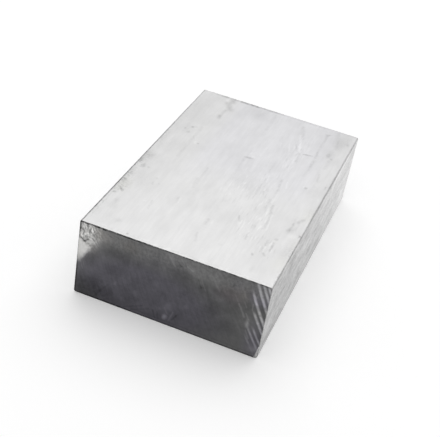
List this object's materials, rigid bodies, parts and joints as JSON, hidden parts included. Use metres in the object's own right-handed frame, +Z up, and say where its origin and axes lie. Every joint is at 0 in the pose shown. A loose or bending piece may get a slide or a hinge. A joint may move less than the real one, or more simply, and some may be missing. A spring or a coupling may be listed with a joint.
{
  "type": "aluminium block",
  "caption": "Rectangular block of solid aluminium flat bar, sawn square to length, with slightly rounded long edges; raw stock for machining.",
  "frame": {"origin": "middle of the wide face that the block lies on", "axes": "+Z up out of the wide face, +Y along the bar's length from the near sawn end to the far one, +X across the bar's width"},
  "size_m": [0.09, 0.15, 0.04],
  "materials": {
    "mill_aluminium": "mill finish with lengthwise die lines; the two ends are rough sawn"
  },
  "bodies": {
    "root": {"aluminium_block": "mill_aluminium"}
  },
  "joints": []
}
